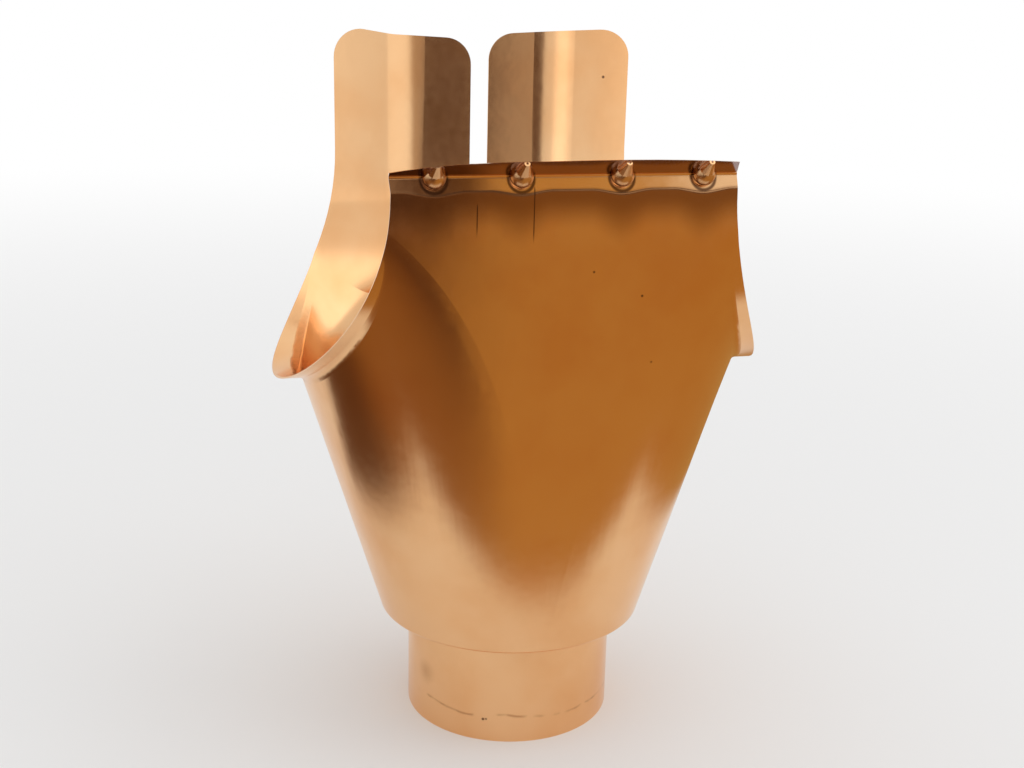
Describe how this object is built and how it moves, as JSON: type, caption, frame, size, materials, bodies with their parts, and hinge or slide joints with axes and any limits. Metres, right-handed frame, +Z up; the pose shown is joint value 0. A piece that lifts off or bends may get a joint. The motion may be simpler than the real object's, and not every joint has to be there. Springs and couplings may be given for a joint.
{
  "type": "gutter outlet",
  "caption": "Drawn sheet copper outlet that hangs round a half-round gutter and leads its water through a funnel into a round downpipe.",
  "frame": {"origin": "centre of the spigot's lower rim", "axes": "+Z up the spigot towards the gutter, +X along the gutter, -Y towards the front lip, +Y towards the rear lugs"},
  "size_m": [0.2226, 0.1639, 0.3194],
  "materials": {
    "copper_sheet": "bright drawn copper sheet, semi-gloss"
  },
  "bodies": {
    "root": {"gutter_outlet": "copper_sheet"}
  },
  "joints": []
}
